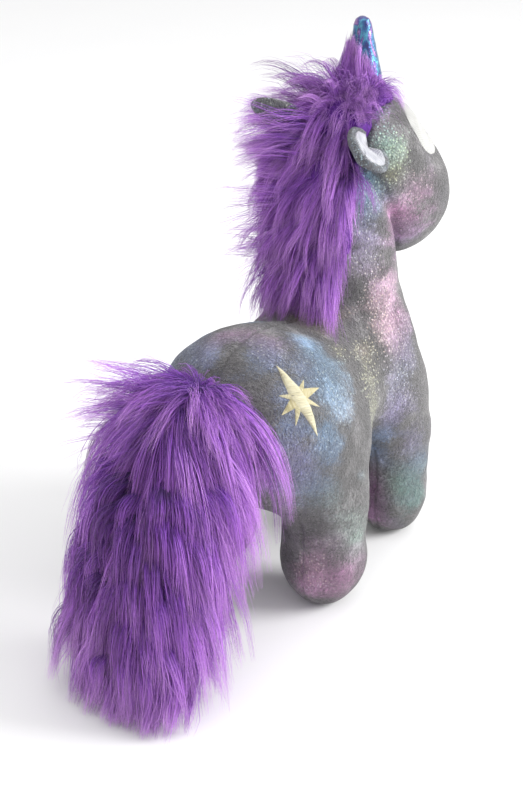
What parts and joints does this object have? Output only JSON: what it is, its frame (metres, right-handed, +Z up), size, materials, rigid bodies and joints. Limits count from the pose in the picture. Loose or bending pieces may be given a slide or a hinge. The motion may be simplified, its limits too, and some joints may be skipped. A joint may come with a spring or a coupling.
{
  "type": "plush unicorn",
  "caption": "Standing stuffed unicorn with velour skin, long fur mane and tail, foil horn and soft ears, neck and legs that flex and spring back.",
  "frame": {"origin": "on the floor under the middle of the whole toy's box", "axes": "+Z up, the unicorn faces -Y, its right side is at -X"},
  "size_m": [0.136, 0.351, 0.3395],
  "materials": {
    "velour": "short grey pile with patches of crackled iridescent foil",
    "filling": "white polyester fibre",
    "satin_lining": "silvery satin",
    "horn_foil": "soft iridescent foil on cloth",
    "purple_fur": "long synthetic fur",
    "fur_backing": "knitted backing of the fur",
    "eye_white": "satin stitch",
    "dark_thread": "satin stitch",
    "cream_thread": "satin stitch",
    "grey_thread": "sewing thread"
  },
  "bodies": {
    "torso": {"belly_gusset": "velour", "left_flank_panel": "velour", "right_flank_panel": "velour", "torso_filling": "filling", "star_embroidery": "cream_thread", "closing_stitches": "grey_thread"},
    "neck": {"left_neck_panel": "velour", "right_neck_panel": "velour", "neck_filling": "filling", "mane_backing": "fur_backing", "neck_mane": "purple_fur"},
    "head": {"forehead_gusset": "velour", "left_cheek_panel": "velour", "right_cheek_panel": "velour", "head_filling": "filling", "crown_fur": "purple_fur", "left_eye_patch": "eye_white", "right_eye_patch": "eye_white", "left_pupil": "dark_thread", "right_pupil": "dark_thread", "nostril_embroidery": "dark_thread"},
    "horn": {"horn_cover": "horn_foil", "horn_filling": "filling"},
    "left_ear": {"left_ear_outer": "velour", "left_ear_lining": "satin_lining"},
    "right_ear": {"right_ear_outer": "velour", "right_ear_lining": "satin_lining"},
    "tail_root": {"tail_tab": "velour"},
    "tail": {"tail_core": "filling", "tail_fur": "purple_fur"},
    "left_hind_leg": {"left_hind_outer_panel": "velour", "left_hind_inner_panel": "velour", "left_hind_filling": "filling"},
    "right_hind_leg": {"right_hind_outer_panel": "velour", "right_hind_inner_panel": "velour", "right_hind_filling": "filling"},
    "left_front_leg": {"left_front_outer_panel": "velour", "left_front_inner_panel": "velour", "left_front_filling": "filling"},
    "right_front_leg": {"right_front_outer_panel": "velour", "right_front_inner_panel": "velour", "right_front_filling": "filling"}
  },
  "joints": [
    {"name": "neck_nod", "type": "hinge", "parent": "torso", "child": "neck", "pos_m": [0, -0.0855, 0.15], "axis": [1, 0, 0], "range_deg": [-6, 14], "stiffness_Nm_per_rad": 2.5},
    {"name": "head_turn", "type": "hinge", "parent": "neck", "child": "head", "pos_m": [0, -0.09348, 0.23764], "axis": [0, -0.0906, 0.9959], "range_deg": [-18, 18], "stiffness_Nm_per_rad": 0.8},
    {"name": "horn_flex", "type": "hinge", "parent": "head", "child": "horn", "pos_m": [0, -0.1135, 0.291], "axis": [1, 0, 0], "range_deg": [-14, 14], "stiffness_Nm_per_rad": 0.05},
    {"name": "left_ear_fold", "type": "hinge", "parent": "head", "child": "left_ear", "pos_m": [0.0255, -0.082, 0.2675], "axis": [0.8512, -0.1651, -0.4982], "range_deg": [-20, 25], "stiffness_Nm_per_rad": 0.02},
    {"name": "right_ear_fold", "type": "hinge", "parent": "head", "child": "right_ear", "pos_m": [-0.0255, -0.082, 0.2675], "axis": [0.8512, 0.1651, 0.4982], "range_deg": [-20, 25], "stiffness_Nm_per_rad": 0.02},
    {"name": "tail_lift", "type": "hinge", "parent": "torso", "child": "tail_root", "pos_m": [0, 0.0725, 0.15], "axis": [1, 0, 0], "range_deg": [0, 40]},
    {"name": "tail_swing", "type": "hinge", "parent": "tail_root", "child": "tail", "pos_m": [0, 0.0805, 0.147], "axis": [0, 0, 1], "range_deg": [-22, 22], "stiffness_Nm_per_rad": 0.05},
    {"name": "left_hind_leg_flex", "type": "hinge", "parent": "torso", "child": "left_hind_leg", "pos_m": [0.041, -0.0025, 0.066], "axis": [1, 0, 0], "range_deg": [-9, 9], "stiffness_Nm_per_rad": 3},
    {"name": "right_hind_leg_flex", "type": "hinge", "parent": "torso", "child": "right_hind_leg", "pos_m": [-0.041, -0.0025, 0.066], "axis": [1, 0, 0], "range_deg": [-9, 9], "stiffness_Nm_per_rad": 3},
    {"name": "left_front_leg_flex", "type": "hinge", "parent": "torso", "child": "left_front_leg", "pos_m": [0.037, -0.0995, 0.066], "axis": [1, 0, 0], "range_deg": [-9, 9], "stiffness_Nm_per_rad": 3},
    {"name": "right_front_leg_flex", "type": "hinge", "parent": "torso", "child": "right_front_leg", "pos_m": [-0.037, -0.0995, 0.066], "axis": [1, 0, 0], "range_deg": [-9, 9], "stiffness_Nm_per_rad": 3}
  ]
}
